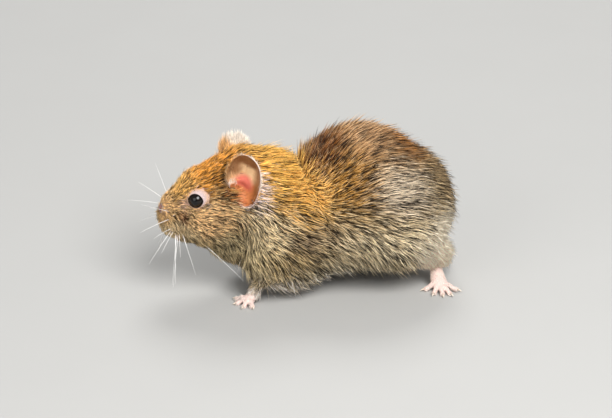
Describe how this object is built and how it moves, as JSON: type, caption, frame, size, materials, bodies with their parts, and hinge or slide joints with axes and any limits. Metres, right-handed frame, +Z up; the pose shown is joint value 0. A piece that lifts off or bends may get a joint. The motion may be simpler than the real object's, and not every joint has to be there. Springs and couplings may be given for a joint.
{
  "type": "bank vole",
  "caption": "Small short-tailed vole standing hunched on all fours, head forward, with a blunt muzzle, short round ears and a full soft coat, as a still life-size model.",
  "frame": {"origin": "middle of the bounding box at floor level, under the body", "axes": "-X is forward, the way the nose points; -Y is the animal's left side; +Z is up"},
  "size_m": [0.0816, 0.0426, 0.045],
  "materials": {
    "fur_russet": "soft matte fur, russet with dark flecks",
    "fur_back": "soft matte fur, brown above, grey on the flank, pale below",
    "fur_limbs": "soft matte fur, grey buff",
    "ear_skin": "thin bare skin with a fine down",
    "paw_skin": "pale pink skin with a thin cover of short white hair",
    "tail_skin": "ringed skin with short hair, dark above and pale below",
    "nose_skin": "moist pink skin",
    "eye_surface": "wet black gloss"
  },
  "bodies": {
    "root": {"head": "fur_russet", "neck": "fur_russet", "trunk": "fur_back", "nose_pad": "nose_skin", "ear_left": "ear_skin", "ear_right": "ear_skin", "eye_left": "eye_surface", "eye_right": "eye_surface", "foreleg_left": "fur_limbs", "forepaw_left": "paw_skin", "foreleg_right": "fur_limbs", "forepaw_right": "paw_skin", "hindleg_left": "fur_limbs", "hindfoot_left": "paw_skin", "hindleg_right": "fur_limbs", "hindfoot_right": "paw_skin", "tail_base": "tail_skin", "tail_end": "tail_skin"}
  },
  "joints": []
}
